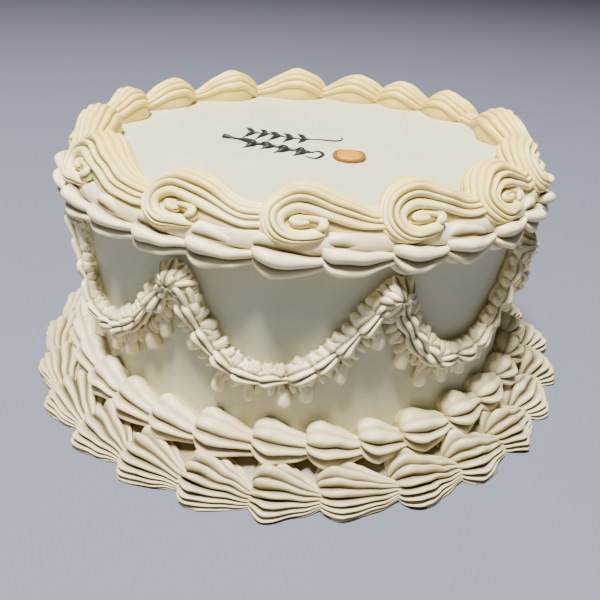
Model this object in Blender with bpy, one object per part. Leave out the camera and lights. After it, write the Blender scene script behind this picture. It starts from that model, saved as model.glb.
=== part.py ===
"""Round anniversary cake with piped buttercream borders, in metres, +Z up.

The cake stands on z = 0 with its axis on Z. Its front is towards -Y. Angles run
counter-clockwise from +X, seen from above, and every piped shell has its fat head
at the lower angle and its tail at the higher one.
"""
import math
import random

import bmesh
import bpy

# Iced cake
CAKE_RADIUS = 0.105
CAKE_HEIGHT = 0.112
TOP_EDGE_ROUND = 0.004
CAKE_SIDES = 64

# Clearance between pieces that touch
SEAT_GAP = 0.0006
PIECE_GAP = 0.0004
WALL_SEAT = CAKE_RADIUS + SEAT_GAP

# One piped shell: where its swell ends, how blunt its head is, how its tail thins,
# and how far the piper's hand strays from an even pitch
SHELL_HEAD_END = 0.22
SHELL_HEAD_BLUNT = 0.04
SHELL_TAIL_POWER = 1.3
SHELL_STRAY = 0.07
SHELL_STATIONS = (0.0, 0.12, 0.50)

# Scrolls on the top rim: where each curl has its eye, in degrees
SCROLL_EYES = (8, 37, 56, 72, 93, 117, 140, 161, 183, 212, 244.8, 269.8, 293, 317, 341)
SCROLL_EYE_RADIUS = 0.1072
SCROLL_EYE_HEIGHT = 0.1105
SCROLL_TILT = math.radians(57)
SCROLL_MEAN_PITCH = math.radians(24)
ROPE_START = 0.0022
ROPE_FULL = 0.0094
ROPE_SWELL_POWER = 1.34
CURL_START = 0.0029
CURL_FULL = 0.0106
CURL_OPEN_POWER = 1.46
CURL_SWEEP = math.radians(210)
CURL_FIRST = math.radians(-60)
CURL_LEAD_IN = 6.0
CURL_EYE_SLIT = 0.0024
CURL_STATIONS = 7
TAIL_PLACES = (0.20, 0.42, 0.62, 1.0)
TAIL_FALL_END = 0.62
TAIL_RADIUS = 0.1030
TAIL_HEIGHT = 0.1112
TAIL_WIDTH = 0.0068
TAIL_THICKNESS = 0.0046
TAIL_REACH = 1.02
ROPE_LOBES = 5
ROPE_GROOVE = 0.19
SCROLL_PITCH_POWER = 0.25
SCROLL_BACK_GROWTH = 0.09
SCROLL_STRAY = 0.03

# The scrolls meet the shells below them on a cone that falls outwards
RIM_CONE_AT_WALL = 0.1105
RIM_CONE_SLOPE = -0.60

# Shells under the scrolls, round the outer edge
EDGE_SHELLS = 29
EDGE_SHELL_FIRST = math.radians(262.5)
EDGE_CENTRE_HEIGHT = 0.1005
EDGE_BOTTOM = 0.0945
EDGE_REACH = 0.0126
EDGE_STRAY = 0.0005
EDGE_TAIL = 0.58

# Upper row of shells at the foot of the wall
FOOT_SHELLS = 32
FOOT_SHELL_FIRST = math.radians(262)
FOOT_CENTRE_HEIGHT = 0.0185
FOOT_TOP = 0.0280
FOOT_REACH = 0.0160
FOOT_STRAY = 0.0006
FOOT_TAIL = 0.58

# The two rows at the foot meet on a cone that rises outwards
FOOT_CONE_AT_WALL = 0.0090
FOOT_CONE_SLOPE = 0.34

# Lower row of wide fan shells, on the surface that the cake stands on
FAN_SHELLS = 27
FAN_SHELL_FIRST = math.radians(264)
FAN_CENTRE = 0.1195
FAN_REACH = 0.0195
FAN_HEIGHT = 0.0165
FAN_STRAY = 0.0008
FAN_TAIL = 0.64
FAN_RIB_ANGLES = tuple(math.radians(a) for a in (0, 17, 33, 49, 65, 81, 98))
FAN_GROOVE = 0.17

# Swags on the wall
SWAGS = 8
SWAG_FIRST = math.radians(244.4)
SWAG_PEAK_HEIGHT = 0.0860
SWAG_DROP = 0.0385
SWAG_SKEW = 0.16
SWAG_FULLNESS = 2.3
SWAG_SHELLS = 9
SWAG_REACH = 0.0090
SWAG_ABOVE = 0.0055
SWAG_BELOW = 0.0085
SWAG_HIGHEST = 0.0928
SWAG_STEEPEST = 1.7
SWAG_STRAY = 0.10
TUFT_RADIUS = 0.0082
TUFT_REACH = 0.0115
TUFT_HEIGHT = 0.0838
TUFT_RIBS = 5
BEADS = 7
BEAD_RADIUS = 0.0024
BEAD_LENGTH = 0.0056
BEAD_DROP = 0.0022
BEAD_SIDES = 6

# Small orange ornament on top: one low oval with a round edge
MOTIF_PLACE = (0.0196, -0.0268)
MOTIF_HALF_WIDTH = 0.0072
MOTIF_HALF_DEPTH = 0.0078
MOTIF_POINTS = 20
# Each level of it: height and share of the full oval, from the underside to the top
MOTIF_LEVELS = ((0.0, 0.94), (0.0010, 1.0), (0.0020, 0.94), (0.0025, 0.80), (0.0028, 0.40))

MM = 0.001


def clear_scene():
    for obj in list(bpy.data.objects):
        bpy.data.objects.remove(obj, do_unlink=True)


def make_material(name, colour, roughness):
    material = bpy.data.materials.new(name)
    material.use_nodes = True
    shader = material.node_tree.nodes["Principled BSDF"]
    shader.inputs["Base Color"].default_value = (*colour, 1.0)
    shader.inputs["Roughness"].default_value = roughness
    shader.inputs["Metallic"].default_value = 0.0
    return material


def add_object(name, verts, faces, material=None):
    """A new object from points and faces, its faces turned outwards."""
    mesh = bpy.data.meshes.new(name)
    mesh.from_pydata(verts, [], faces)
    mesh.validate()
    bm = bmesh.new()
    bm.from_mesh(mesh)
    bmesh.ops.recalc_face_normals(bm, faces=bm.faces)
    bm.to_mesh(mesh)
    bm.free()
    obj = bpy.data.objects.new(name, mesh)
    bpy.context.scene.collection.objects.link(obj)
    if material is not None:
        mesh.materials.append(material)
    return obj


def shade_round(obj, angle=math.radians(50)):
    obj.data.shade_smooth()
    obj.data.set_sharp_from_angle(angle=angle)


def polar(angle, radius, height):
    return (radius * math.cos(angle), radius * math.sin(angle), height)


def loft(sections, closed):
    """Skin over sections of equal point counts, round a ring or capped at both ends."""
    count = len(sections[0])
    verts = [point for section in sections for point in section]
    faces = []
    spans = len(sections) if closed else len(sections) - 1
    for i in range(spans):
        here = i * count
        there = ((i + 1) % len(sections)) * count
        for j in range(count):
            k = (j + 1) % count
            faces.append((here + j, here + k, there + k, there + j))
    if not closed:
        for base in (0, (len(sections) - 1) * count):
            ring = range(base, base + count)
            centre = [sum(verts[i][axis] for i in ring) / count for axis in range(3)]
            verts.append(tuple(centre))
            hub = len(verts) - 1
            faces += [(base + j, base + (j + 1) % count, hub) for j in range(count)]
    return verts, faces


def turned(profile, sides):
    """Sections of a turned solid whose profile is a closed loop away from the axis."""
    step = 2 * math.pi / sides
    return [[polar(i * step, r, z) for r, z in profile] for i in range(sides)]


def shell_scale(t, tail):
    """Fatness along one shell: a quick swell at the head, then a long taper."""
    if t < SHELL_HEAD_END:
        rise = (t + SHELL_HEAD_BLUNT) / (SHELL_HEAD_END + SHELL_HEAD_BLUNT)
        return tail + (1 - tail) * math.sin(0.5 * math.pi * rise)
    fall = (t - SHELL_HEAD_END) / (1 - SHELL_HEAD_END)
    return 1 - (1 - tail) * fall ** SHELL_TAIL_POWER


def shell_ring(count, first, section, tail, seed):
    """Sections of a ring of shells; `section(scale, t, size)` gives (radius, height)."""
    draw = random.Random(seed)
    pitch = 2 * math.pi / count
    offsets = [draw.uniform(-SHELL_STRAY, SHELL_STRAY) for _ in range(count)]
    sizes = [draw.uniform(-1, 1) for _ in range(count)]
    sections = []
    for i in range(count):
        start = first + (i + offsets[i]) * pitch
        end = first + (i + 1 + offsets[(i + 1) % count]) * pitch
        for t in SHELL_STATIONS:
            angle = start + t * (end - start)
            scale = shell_scale(t, tail)
            loop = section(scale, t, sizes[i])
            sections.append([polar(angle, r, z) for r, z in loop])
    return sections


def make_cake(material):
    """The iced cake itself, solid, with a small round on its top edge."""
    round_45 = TOP_EDGE_ROUND * (1 - math.sqrt(0.5))
    rings = [
        (CAKE_RADIUS, 0.0),
        (CAKE_RADIUS, CAKE_HEIGHT - TOP_EDGE_ROUND),
        (CAKE_RADIUS - round_45, CAKE_HEIGHT - round_45),
        (CAKE_RADIUS - TOP_EDGE_ROUND, CAKE_HEIGHT),
    ]
    step = 2 * math.pi / CAKE_SIDES
    verts = [polar(i * step, r, z) for r, z in rings for i in range(CAKE_SIDES)]
    faces = []
    for level in range(len(rings) - 1):
        low = level * CAKE_SIDES
        high = low + CAKE_SIDES
        for i in range(CAKE_SIDES):
            j = (i + 1) % CAKE_SIDES
            faces.append((low + i, low + j, high + j, high + i))
    last = (len(rings) - 1) * CAKE_SIDES
    faces.append(tuple(reversed(range(CAKE_SIDES))))
    faces.append(tuple(range(last, last + CAKE_SIDES)))
    cake = add_object("cake_body", verts, faces, material)
    shade_round(cake, math.radians(30))
    return cake


def rim_cone(radius):
    """Height of the cone between the scrolls and the shells below them."""
    return RIM_CONE_AT_WALL + RIM_CONE_SLOPE * (radius - WALL_SEAT)


def foot_cone(radius):
    """Height of the cone between the two rows at the foot."""
    return FOOT_CONE_AT_WALL + FOOT_CONE_SLOPE * (radius - WALL_SEAT)


def make_edge_shells(material):
    """Shells under the rim: a wall seat, then three ribs with two grooves between."""
    def section(scale, t, size):
        reach = (EDGE_REACH + EDGE_STRAY * size) * scale
        fall = (EDGE_CENTRE_HEIGHT - EDGE_BOTTOM) * (0.35 + 0.65 * scale)
        low = EDGE_CENTRE_HEIGHT - fall + 1.2 * MM * t
        top = WALL_SEAT + 0.76 * reach
        return [
            (WALL_SEAT, rim_cone(WALL_SEAT) - PIECE_GAP),
            (WALL_SEAT, low + 0.8 * MM),
            (WALL_SEAT + 0.50 * reach, low - 0.6 * MM),
            (WALL_SEAT + 0.68 * reach, low + 2.6 * MM),
            (WALL_SEAT + 1.00 * reach, low + 4.4 * MM),
            (WALL_SEAT + 0.97 * reach, low + 7.4 * MM),
            (WALL_SEAT + 0.76 * reach, low + 8.6 * MM),
            (top, rim_cone(top) - PIECE_GAP),
        ]
    sections = shell_ring(EDGE_SHELLS, EDGE_SHELL_FIRST, section, EDGE_TAIL, 11)
    border = add_object("top_edge_shells", *loft(sections, True), material)
    shade_round(border)
    return border


def make_foot_shells(material):
    """Upper shells at the foot, leaning on the wall above the fans."""
    def section(scale, _, size):
        reach = (FOOT_REACH + FOOT_STRAY * size) * scale
        top = FOOT_CENTRE_HEIGHT + (FOOT_TOP - FOOT_CENTRE_HEIGHT) * (0.15 + 0.85 * scale)
        low = WALL_SEAT + 0.82 * reach
        return [
            (WALL_SEAT, foot_cone(WALL_SEAT)),
            (low, foot_cone(low)),
            (WALL_SEAT + 0.94 * reach, FOOT_CENTRE_HEIGHT - 2.2 * MM),
            (WALL_SEAT + 0.85 * reach, FOOT_CENTRE_HEIGHT - 0.8 * MM),
            (WALL_SEAT + 1.00 * reach, FOOT_CENTRE_HEIGHT + 1.6 * MM * scale),
            (WALL_SEAT + 0.78 * reach, FOOT_CENTRE_HEIGHT + 5.2 * MM * scale),
            (WALL_SEAT + 0.60 * reach, FOOT_CENTRE_HEIGHT + 5.4 * MM * scale),
            (WALL_SEAT + 0.46 * reach, top),
            (WALL_SEAT, top),
        ]
    sections = shell_ring(FOOT_SHELLS, FOOT_SHELL_FIRST, section, FOOT_TAIL, 23)
    border = add_object("foot_shells", *loft(sections, True), material)
    shade_round(border)
    return border


def make_fan_shells(material):
    """Wide ribbed fans; the flat underside is on z = 0."""
    def section(scale, _, size):
        reach = (FAN_REACH + FAN_STRAY * size) * scale
        height = FAN_HEIGHT * (0.45 + 0.55 * scale)
        loop = [(WALL_SEAT, 0.0)]
        for i, angle in enumerate(FAN_RIB_ANGLES):
            fullness = 1.0 - FAN_GROOVE * (i % 2)
            r = FAN_CENTRE + fullness * reach * math.cos(angle)
            z = fullness * height * math.sin(angle)
            loop.append((r, min(z, foot_cone(r) - PIECE_GAP)))
        loop.append((WALL_SEAT, foot_cone(WALL_SEAT) - PIECE_GAP))
        return loop
    sections = shell_ring(FAN_SHELLS, FAN_SHELL_FIRST, section, FAN_TAIL, 37)
    border = add_object("foot_fans", *loft(sections, True), material)
    shade_round(border)
    return border


def swag_line(angle):
    """Height of the swags' middle line and its slope; it hangs deepest left of its middle."""
    pitch = 2 * math.pi / SWAGS
    place = ((angle - SWAG_FIRST) / pitch) % 1.0
    across = 2 * place - 1
    skewed = across + SWAG_SKEW * (1 - across * across)
    height = SWAG_PEAK_HEIGHT - SWAG_DROP * (1 - abs(skewed) ** SWAG_FULLNESS)
    turn = 2 * (1 - 2 * SWAG_SKEW * across) / (pitch * CAKE_RADIUS)
    bow = SWAG_FULLNESS * math.copysign(abs(skewed) ** (SWAG_FULLNESS - 1), skewed)
    slope = SWAG_DROP * bow * turn
    return height, slope


def bead(angle, height):
    """A small drop against the wall: a pole above, a belt of points, a pole below."""
    radius = WALL_SEAT + BEAD_RADIUS
    verts = [polar(angle, radius, height + BEAD_LENGTH)]
    for i in range(BEAD_SIDES):
        turn = 2 * math.pi * i / BEAD_SIDES
        out = radius + BEAD_RADIUS * math.cos(turn)
        verts.append(polar(angle + BEAD_RADIUS * math.sin(turn) / radius, out, height))
    verts.append(polar(angle, radius, height - BEAD_RADIUS))
    last = BEAD_SIDES + 1
    faces = []
    for i in range(BEAD_SIDES):
        here = 1 + i
        there = 1 + (i + 1) % BEAD_SIDES
        faces.append((0, here, there))
        faces.append((last, there, here))
    return verts, faces


def tuft(angle):
    """A star of ribs at a peak: a wide ring on the wall, a raised ring, and a tip."""
    points = 2 * TUFT_RIBS
    verts = []
    for out, wide, cut in ((0.0, 1.0, 0.12), (0.62, 0.80, 0.32)):
        for i in range(points):
            turn = 2 * math.pi * i / points
            radius = TUFT_RADIUS * wide * (1 - cut * (i % 2))
            height = TUFT_HEIGHT + radius * math.sin(turn)
            away = WALL_SEAT + out * TUFT_REACH
            verts.append(polar(angle + radius * math.cos(turn) / away, away, height))
    faces = [tuple(range(points))]
    verts.append(polar(angle, WALL_SEAT + TUFT_REACH, TUFT_HEIGHT))
    for i in range(points):
        j = (i + 1) % points
        faces.append((i, j, points + j, points + i))
        faces.append((points + i, points + j, 2 * points))
    return verts, faces


def make_garland(material):
    """Eight swags of small shells with a lower row, and drops hanging below."""
    shells = SWAGS * SWAG_SHELLS
    pitch = 2 * math.pi / shells
    draw = random.Random(53)
    sections = []
    for i in range(shells):
        size = 1 + SWAG_STRAY * draw.uniform(-1, 1)
        for t, scale in ((0.0, 0.70), (0.25, 1.0)):
            angle = SWAG_FIRST + (i + t) * pitch
            middle, slope = swag_line(angle)
            steep = min(SWAG_STEEPEST, math.hypot(1, slope))
            reach = SWAG_REACH * scale * size
            above = SWAG_ABOVE * (0.5 + 0.5 * scale) * steep
            above = min(above, SWAG_HIGHEST - middle)
            below = SWAG_BELOW * (0.5 + 0.5 * scale) * steep
            loop = [
                (WALL_SEAT, middle - below),
                (WALL_SEAT + 0.60 * reach, middle - 0.95 * below),
                (WALL_SEAT + 0.64 * reach, middle - 0.45 * below),
                (WALL_SEAT + reach, middle - 0.12 * below),
                (WALL_SEAT + 0.80 * reach, middle + 0.70 * above),
                (WALL_SEAT, middle + above),
            ]
            sections.append([polar(angle, r, z) for r, z in loop])
    garland = add_object("wall_garland", *loft(sections, True), material)
    extras = []
    for i in range(SWAGS):
        angle = SWAG_FIRST + 2 * math.pi * i / SWAGS
        extras.append(add_object("tuft", *tuft(angle), material))
    for i in range(SWAGS * BEADS):
        angle = SWAG_FIRST + 2 * math.pi * (i + 0.5) / (SWAGS * BEADS)
        middle, slope = swag_line(angle)
        below = SWAG_BELOW * min(SWAG_STEEPEST, math.hypot(1, slope))
        extras.append(add_object("bead", *bead(angle, middle - below - BEAD_DROP), material))
    fuse(garland, extras)
    shade_round(garland)
    return garland


def rope_section(centre, across, along_axis, width, height):
    """Star section of a rope, wider than high towards its tail."""
    points = []
    steps = 2 * ROPE_LOBES
    for i in range(steps):
        turn = 2 * math.pi * i / steps
        fullness = 1.0 - ROPE_GROOVE * ((i + 1) % 2)
        a = width * fullness * math.cos(turn)
        b = height * fullness * math.sin(turn)
        points.append([centre[k] + a * across[k] + b * along_axis[k] for k in range(3)])
    return points


def scroll_centre_line(reach, size):
    """Stations of one scroll in local (tangential, radial, height) metres."""
    plane_up = (0.0, -math.sin(SCROLL_TILT), math.cos(SCROLL_TILT))
    stations = []
    for i in range(CURL_STATIONS):
        q = i / (CURL_STATIONS - 1)
        turn = CURL_FIRST - q * CURL_SWEEP
        curl = size * (CURL_START + (CURL_FULL - CURL_START) * q ** CURL_OPEN_POWER)
        rope = size * (ROPE_START + (ROPE_FULL - ROPE_START) * q ** ROPE_SWELL_POWER)
        across = math.cos(turn)
        if across > 0:
            flat = CURL_LEAD_IN * curl * across
        else:
            flat = (curl + size * CURL_EYE_SLIT) * across
        up = curl * math.sin(turn)
        stations.append((
            flat,
            SCROLL_EYE_RADIUS + up * plane_up[1],
            SCROLL_EYE_HEIGHT + up * plane_up[2],
            rope,
            rope,
        ))
    flat, radius, height, rope = stations[-1][:4]
    for q in TAIL_PLACES:
        fall = min(1.0, q / TAIL_FALL_END)
        fall = fall * fall * (3 - 2 * fall)
        stations.append((
            flat + (reach - flat) * q,
            radius + (TAIL_RADIUS - radius) * fall,
            height + (TAIL_HEIGHT - height) * fall,
            rope + (size * TAIL_WIDTH - rope) * fall,
            rope + (size * TAIL_THICKNESS - rope) * fall,
        ))
    return stations


def scroll_sections(eye, reach, size):
    """Star sections along one scroll, bent round the rim."""
    line = scroll_centre_line(reach, size)
    axis = (0.0, math.cos(SCROLL_TILT), math.sin(SCROLL_TILT))
    sections = []
    for i, (flat, radius, height, wide, high) in enumerate(line):
        before = line[max(i - 1, 0)]
        after = line[min(i + 1, len(line) - 1)]
        tangent = [after[k] - before[k] for k in range(3)]
        side = [
            tangent[1] * axis[2] - tangent[2] * axis[1],
            tangent[2] * axis[0] - tangent[0] * axis[2],
            tangent[0] * axis[1] - tangent[1] * axis[0],
        ]
        length = math.sqrt(sum(c * c for c in side))
        side = [c / length for c in side]
        ring = rope_section((flat, radius, height), side, axis, wide, high)
        sections.append([polar(eye + p[0] / TAIL_RADIUS, p[1], p[2]) for p in ring])
    return sections


def apply_modifiers(obj):
    """Replace the mesh by what its modifiers make."""
    graph = bpy.context.evaluated_depsgraph_get()
    mesh = bpy.data.meshes.new_from_object(obj.evaluated_get(graph))
    old = obj.data
    obj.modifiers.clear()
    obj.data = mesh
    bpy.data.meshes.remove(old)


def fuse(obj, others):
    """Boolean union of an object with a list of others, which are then removed."""
    holder = bpy.data.collections.new("to_fuse")
    bpy.context.scene.collection.children.link(holder)
    for other in others:
        bpy.context.scene.collection.objects.unlink(other)
        holder.objects.link(other)
    union = obj.modifiers.new("fuse", "BOOLEAN")
    union.operation = "UNION"
    union.operand_type = "COLLECTION"
    union.collection = holder
    union.solver = "MANIFOLD"
    apply_modifiers(obj)
    for other in others:
        bpy.data.objects.remove(other, do_unlink=True)
    bpy.data.collections.remove(holder)


def keep_largest_body(obj):
    """Drop loose scraps that a cut leaves."""
    bm = bmesh.new()
    bm.from_mesh(obj.data)
    left = set(bm.verts)
    bodies = []
    while left:
        body = {left.pop()}
        edge_front = list(body)
        while edge_front:
            vert = edge_front.pop()
            for edge in vert.link_edges:
                other = edge.other_vert(vert)
                if other not in body:
                    body.add(other)
                    edge_front.append(other)
        left -= body
        bodies.append(body)
    bodies.sort(key=len)
    for body in bodies[:-1]:
        bmesh.ops.delete(bm, geom=list(body), context="VERTS")
    bm.to_mesh(obj.data)
    bm.free()


def rim_cutter():
    """The cake's top edge with its clearance, and all that lies below the scrolls."""
    inside = 0.02
    outside = 0.15
    profile = [
        (inside, 0.06),
        (outside, 0.06),
        (outside, rim_cone(outside)),
        (WALL_SEAT, rim_cone(WALL_SEAT)),
        (WALL_SEAT, CAKE_HEIGHT + SEAT_GAP),
        (inside, CAKE_HEIGHT + SEAT_GAP),
    ]
    cutter = add_object("rim_cutter", *loft(turned(profile, CAKE_SIDES), True))
    cutter.hide_render = True
    cutter.display_type = "WIRE"
    return cutter


def make_scrolls(material):
    """Fifteen curls of star rope on the rim, each over the tail of the one before."""
    draw = random.Random(7)
    eyes = [math.radians(a) for a in SCROLL_EYES]
    scrolls = []
    for i, eye in enumerate(eyes):
        following = eyes[(i + 1) % len(eyes)]
        pitch = (following - eye) % (2 * math.pi)
        size = (pitch / SCROLL_MEAN_PITCH) ** SCROLL_PITCH_POWER
        back = 1 + math.sin(eye)
        size *= 1 + SCROLL_BACK_GROWTH * back + SCROLL_STRAY * draw.uniform(-1, 1)
        reach = TAIL_REACH * pitch * TAIL_RADIUS
        sections = scroll_sections(eye, reach, size)
        scrolls.append(add_object("scroll", *loft(sections, False), material))
    border = scrolls[0]
    border.name = "top_scrolls"
    fuse(border, scrolls[1:])
    cutter = rim_cutter()
    cut = border.modifiers.new("cut", "BOOLEAN")
    cut.operation = "DIFFERENCE"
    cut.object = cutter
    cut.solver = "MANIFOLD"
    apply_modifiers(border)
    bpy.data.objects.remove(cutter, do_unlink=True)
    keep_largest_body(border)
    border.data.name = "top_scrolls"
    shade_round(border)
    return border


def make_motif(material):
    """An oval of orange icing on the top, slightly domed."""
    sections = []
    for rise, share in MOTIF_LEVELS:
        section = []
        for i in range(MOTIF_POINTS):
            turn = 2 * math.pi * i / MOTIF_POINTS
            x = MOTIF_PLACE[0] + share * MOTIF_HALF_WIDTH * math.cos(turn)
            y = MOTIF_PLACE[1] + share * MOTIF_HALF_DEPTH * math.sin(turn)
            section.append((x, y, CAKE_HEIGHT + PIECE_GAP + rise))
        sections.append(section)
    motif = add_object("orange_ornament", *loft(sections, False), material)
    shade_round(motif)
    return motif


def main():
    clear_scene()
    icing = make_material("smooth_buttercream", (0.84, 0.82, 0.74), 0.55)
    piping = make_material("piped_buttercream", (0.88, 0.84, 0.72), 0.50)
    orange = make_material("orange_icing", (0.90, 0.46, 0.16), 0.45)
    make_cake(icing)
    make_scrolls(piping)
    make_edge_shells(piping)
    make_garland(piping)
    make_foot_shells(piping)
    make_fan_shells(piping)
    make_motif(orange)


main()
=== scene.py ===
# %% [markdown]
# # A celebration cake piped in buttercream
#
# The real cake is one round tier, spread smooth, and piped all over: fat scrolls on the
# top rim, a row of shells under them, swags on the wall, two rows of shells at the foot,
# and a little ornament and a flourish of black icing on top.
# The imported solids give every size, so we load them first and build on them.

# %% Load the solids
import math
import random

import bpy
import numpy as np
from mathutils import Matrix, Vector


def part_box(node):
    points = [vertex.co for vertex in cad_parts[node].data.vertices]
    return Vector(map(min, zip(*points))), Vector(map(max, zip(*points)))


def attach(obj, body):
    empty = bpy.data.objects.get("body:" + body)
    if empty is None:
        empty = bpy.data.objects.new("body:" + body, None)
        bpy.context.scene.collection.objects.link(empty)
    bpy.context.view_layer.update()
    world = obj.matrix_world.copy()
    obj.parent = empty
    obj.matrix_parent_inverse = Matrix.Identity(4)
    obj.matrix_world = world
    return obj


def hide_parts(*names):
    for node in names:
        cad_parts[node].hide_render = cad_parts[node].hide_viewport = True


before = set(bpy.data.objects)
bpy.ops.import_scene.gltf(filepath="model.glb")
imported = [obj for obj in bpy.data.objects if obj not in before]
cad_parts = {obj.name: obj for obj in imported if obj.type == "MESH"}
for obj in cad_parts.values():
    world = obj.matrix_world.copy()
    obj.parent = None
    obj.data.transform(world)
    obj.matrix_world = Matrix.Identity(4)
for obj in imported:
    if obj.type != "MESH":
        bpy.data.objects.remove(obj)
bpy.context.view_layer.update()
print("solids:", sorted(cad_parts))

# %% [markdown]
# The cake's own sizes are read from its solid, so that every piece sits on it. The wall
# is a plain cylinder: its radius and its top are all that the piping needs. The script counts
# in metres, so sizes in millimetres are written as so many MM.

# %% Sizes of the cake
cake_low, cake_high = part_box("cake_body")
WALL = cake_high.x
TOP = cake_high.z
MM = 0.001
print(f"wall radius {WALL / MM:.1f} mm, from {cake_low.z / MM:.1f} to {TOP / MM:.1f} mm")

# %% [markdown]
# Everything piped comes out of a star tip. Its cut has rounded lobes with narrow, deep
# creases between them, and the soft icing never keeps them even: some creases stay deep,
# others half close. So a star is described by where its creases are and how deep each
# is. The points are crowded towards the creases, because a crease needs more of them
# than a smooth lobe. We keep the depth of each point, by which shade is later painted
# into the creases.


# %% The star tip
def star_tip(creases, strengths, points, sharpness=0.9):
    """Angle of every point round the star, and its depth: 0 on a lobe, 1 in a crease."""
    start = np.radians(np.array(creases, float))
    stop = np.append(start[1:], start[0] + 2 * np.pi)
    strength = np.array(strengths, float)
    u = np.linspace(-1, 1, points, endpoint=False)
    across = 0.4 * u + 0.6 * np.sin(0.5 * np.pi * u)
    angle = 0.5 * (start + stop)[:, None] + 0.5 * (stop - start)[:, None] * across
    dip = 1 - np.abs(np.cos(0.5 * np.pi * across)) ** sharpness
    near = np.where(across < 0, strength[:, None], np.roll(strength, -1)[:, None])
    return angle.ravel(), (dip * near).ravel()


def round_tip(points):
    """A round cut, without any crease."""
    return np.arange(points) * 2 * np.pi / points, np.zeros(points)


angles, depths = star_tip((0, 90, 180, 270), (1, 1, 1, 1), 8)
print(f"a star of 4 lobes has {len(angles)} points, deepest {depths.max():.2f}")

# %% [markdown]
# A piped form is that star carried along a line while it swells and thins. Sweeping it
# ourselves, rather than with a curve's bevel, lets every station have its own width,
# height, crease depth and even its own star. Both ends close in a point. The result is
# a grid of points, which Blender takes as four-sided faces.


# %% Carry the star along a line
def pipe(line, side, up, wide, high, star, crease):
    """Points of a ribbed body and their depth. All inputs have one row per station."""
    angle, depth = np.atleast_2d(star[0]), np.atleast_2d(star[1])
    full = 1 - crease[:, None] * depth
    a = (wide[:, None] * full * np.cos(angle))[..., None]
    b = (high[:, None] * full * np.sin(angle))[..., None]
    rings = line[:, None, :] + a * side[:, None, :] + b * up[:, None, :]
    return rings, np.broadcast_to(depth, full.shape)


def bend(points, angle, radius):
    """Wrap (along, outward, height) points round the cake's axis."""
    turn = angle + points[..., 0] / radius
    out = points[..., 1]
    return np.stack([out * np.cos(turn), out * np.sin(turn), points[..., 2]], axis=-1)


print("a line of 3 stations gives rings of shape",
      pipe(np.zeros((3, 3)), np.eye(3), np.eye(3), np.ones(3), np.ones(3),
           (angles, depths), np.zeros(3))[0].shape)

# %% [markdown]
# Each border has dozens of such bodies. One object for each would be slow, so a border
# is gathered as plain arrays and turned into one mesh at the end. The crease depth goes
# along as a value on every point, under the name "crease", for the icing's material,
# which paints shade into the creases by it.


# %% Gather bodies into one mesh
# The closed ends of a body take this crease value, so painted shade lies where the creases
# meet.
END_DEPTH = 0.6


def close_grid(rings, dark):
    """Vertices, quads, triangles and depths of a grid that is closed at both ends."""
    n, m = rings.shape[:2]
    verts = np.concatenate([rings.reshape(-1, 3), rings[0].mean(0)[None],
                            rings[-1].mean(0)[None]])
    depth = np.concatenate([dark.ravel(), [END_DEPTH, END_DEPTH]])
    i, j = np.meshgrid(np.arange(n - 1), np.arange(m), indexing="ij")
    k = (j + 1) % m
    quads = np.stack([i * m + j, i * m + k, (i + 1) * m + k, (i + 1) * m + j], -1)
    j = np.arange(m)
    k = (j + 1) % m
    first = np.stack([k, j, np.full(m, n * m)], -1)
    last = np.stack([(n - 1) * m + j, (n - 1) * m + k, np.full(m, n * m + 1)], -1)
    return verts, quads.reshape(-1, 4), np.concatenate([first, last]), depth


def as_object(name, bodies):
    """One smooth mesh from a list of closed grids."""
    verts, quads, tris, depth = [], [], [], []
    base = 0
    for rings, dark in bodies:
        v, q, t, d = close_grid(rings, dark)
        verts.append(v)
        quads.append(q + base)
        tris.append(t + base)
        depth.append(d)
        base += len(v)
    verts, quads, tris = map(np.concatenate, (verts, quads, tris))
    mesh = bpy.data.meshes.new(name)
    mesh.vertices.add(len(verts))
    mesh.vertices.foreach_set("co", verts.astype(np.float32).ravel())
    mesh.loops.add(quads.size + tris.size)
    mesh.loops.foreach_set("vertex_index", np.concatenate([quads.ravel(), tris.ravel()]))
    sizes = np.concatenate([np.full(len(quads), 4), np.full(len(tris), 3)])
    mesh.polygons.add(len(sizes))
    mesh.polygons.foreach_set("loop_start", np.concatenate([[0], np.cumsum(sizes)[:-1]]))
    mesh.update(calc_edges=True)
    mesh.polygons.foreach_set("use_smooth", np.ones(len(sizes), bool))
    value = mesh.attributes.new("crease", "FLOAT", "POINT")
    value.data.foreach_set("value", np.concatenate(depth).astype(np.float32))
    obj = bpy.data.objects.new(name, mesh)
    bpy.context.scene.collection.objects.link(obj)
    triangles = 2 * len(quads) + len(tris)
    print(f"{name}: {len(bodies)} bodies, {triangles} triangles")
    return obj


def stands_for(obj, node):
    """The piece rides on the cake and takes the place of this solid."""
    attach(obj, "root")
    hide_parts(node)


# %% [markdown]
# Nothing piped by hand is quite regular. A few slow waves, different for every body,
# push its points a fraction of a millimetre, so no two shells are alike.


# %% A hand's unevenness
def unsteady(points, draw, amount, length):
    """Push points about by slow waves of about the given length."""
    moved = points.copy()
    for axis in range(3):
        for _ in range(2):
            way = np.array([draw.gauss(0, 1) for _ in range(3)])
            way *= 2 * np.pi / (length * np.linalg.norm(way))
            moved[..., axis] += 0.5 * amount * np.sin(points @ way + draw.uniform(0, 6.3))
    return moved


print("a point moves by", unsteady(np.zeros((1, 3)), random.Random(1), 0.5 * MM, 10 * MM))
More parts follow.
